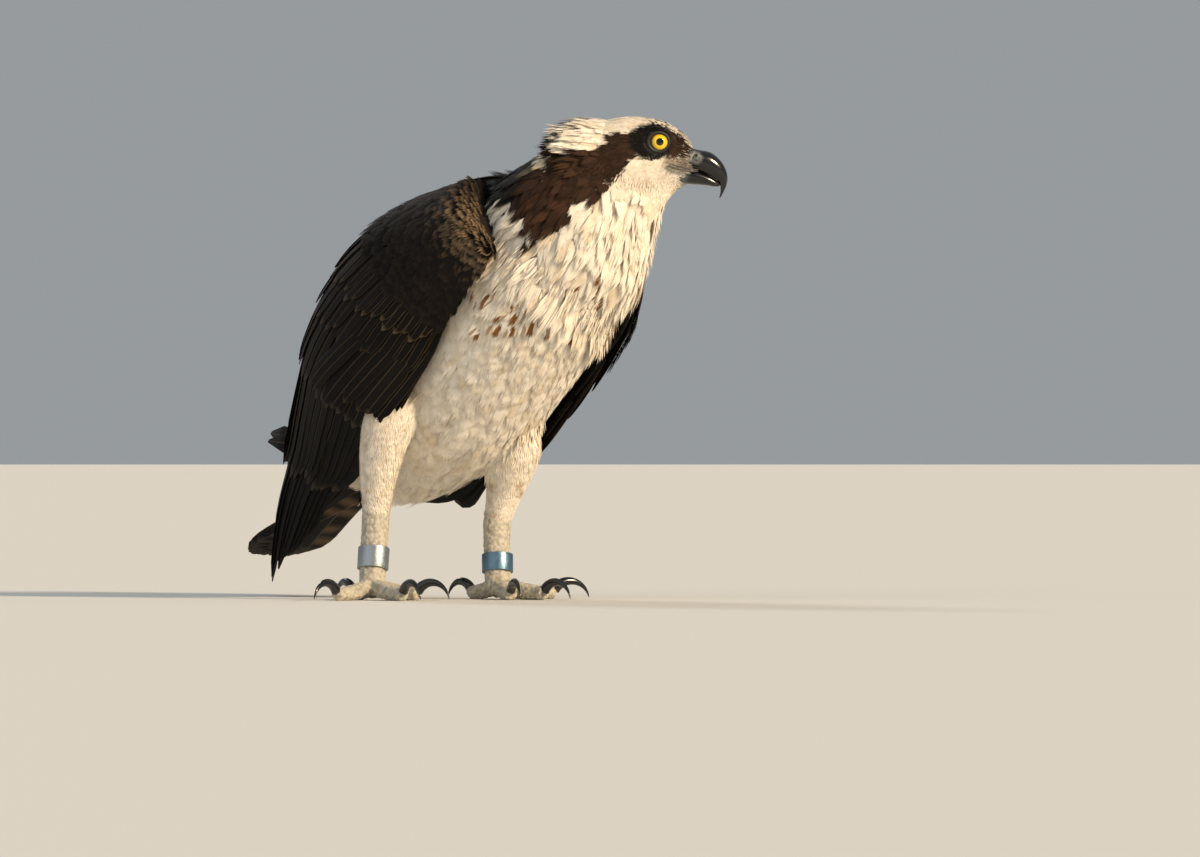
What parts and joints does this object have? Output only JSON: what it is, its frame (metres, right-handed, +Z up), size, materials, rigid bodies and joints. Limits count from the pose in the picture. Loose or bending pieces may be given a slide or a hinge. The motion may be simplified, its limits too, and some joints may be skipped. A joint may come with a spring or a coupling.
{
  "type": "osprey bird model",
  "caption": "Life-size still osprey standing on a level floor, head turned to its left, wings folded, with a ruffled crest, hooked bill, curved claws and a ring on each leg.",
  "frame": {"origin": "on the floor, at the middle of the bird's bounding box", "axes": "+Z up, +X the way the bill points, -Y the side that the breast is turned to"},
  "size_m": [0.3306, 0.3926, 0.3386],
  "materials": {
    "white_plumage": "soft cream-white feathers, speckled dark on crown and breast",
    "brown_plumage": "dark brown vanes with pale edges",
    "horn": "glossy black horn",
    "eye": "wet, yellow iris and black pupil",
    "scaled_skin": "pale grey skin with fine pebbled scales",
    "band": "plain satin ring"
  },
  "bodies": {
    "root": {"torso": "white_plumage", "neck": "white_plumage", "tail": "brown_plumage", "head": "white_plumage", "bill_upper": "horn", "bill_lower": "horn", "eye_right": "eye", "wing_right": "brown_plumage", "eye_left": "eye", "wing_left": "brown_plumage", "thigh_right": "white_plumage", "tarsus_right": "scaled_skin", "foot_right": "scaled_skin", "leg_band_right": "band", "claw_right_inner": "horn", "claw_right_middle": "horn", "claw_right_outer": "horn", "claw_right_hind": "horn", "thigh_left": "white_plumage", "tarsus_left": "scaled_skin", "foot_left": "scaled_skin", "leg_band_left": "band", "claw_left_inner": "horn", "claw_left_middle": "horn", "claw_left_outer": "horn", "claw_left_hind": "horn"}
  },
  "joints": []
}
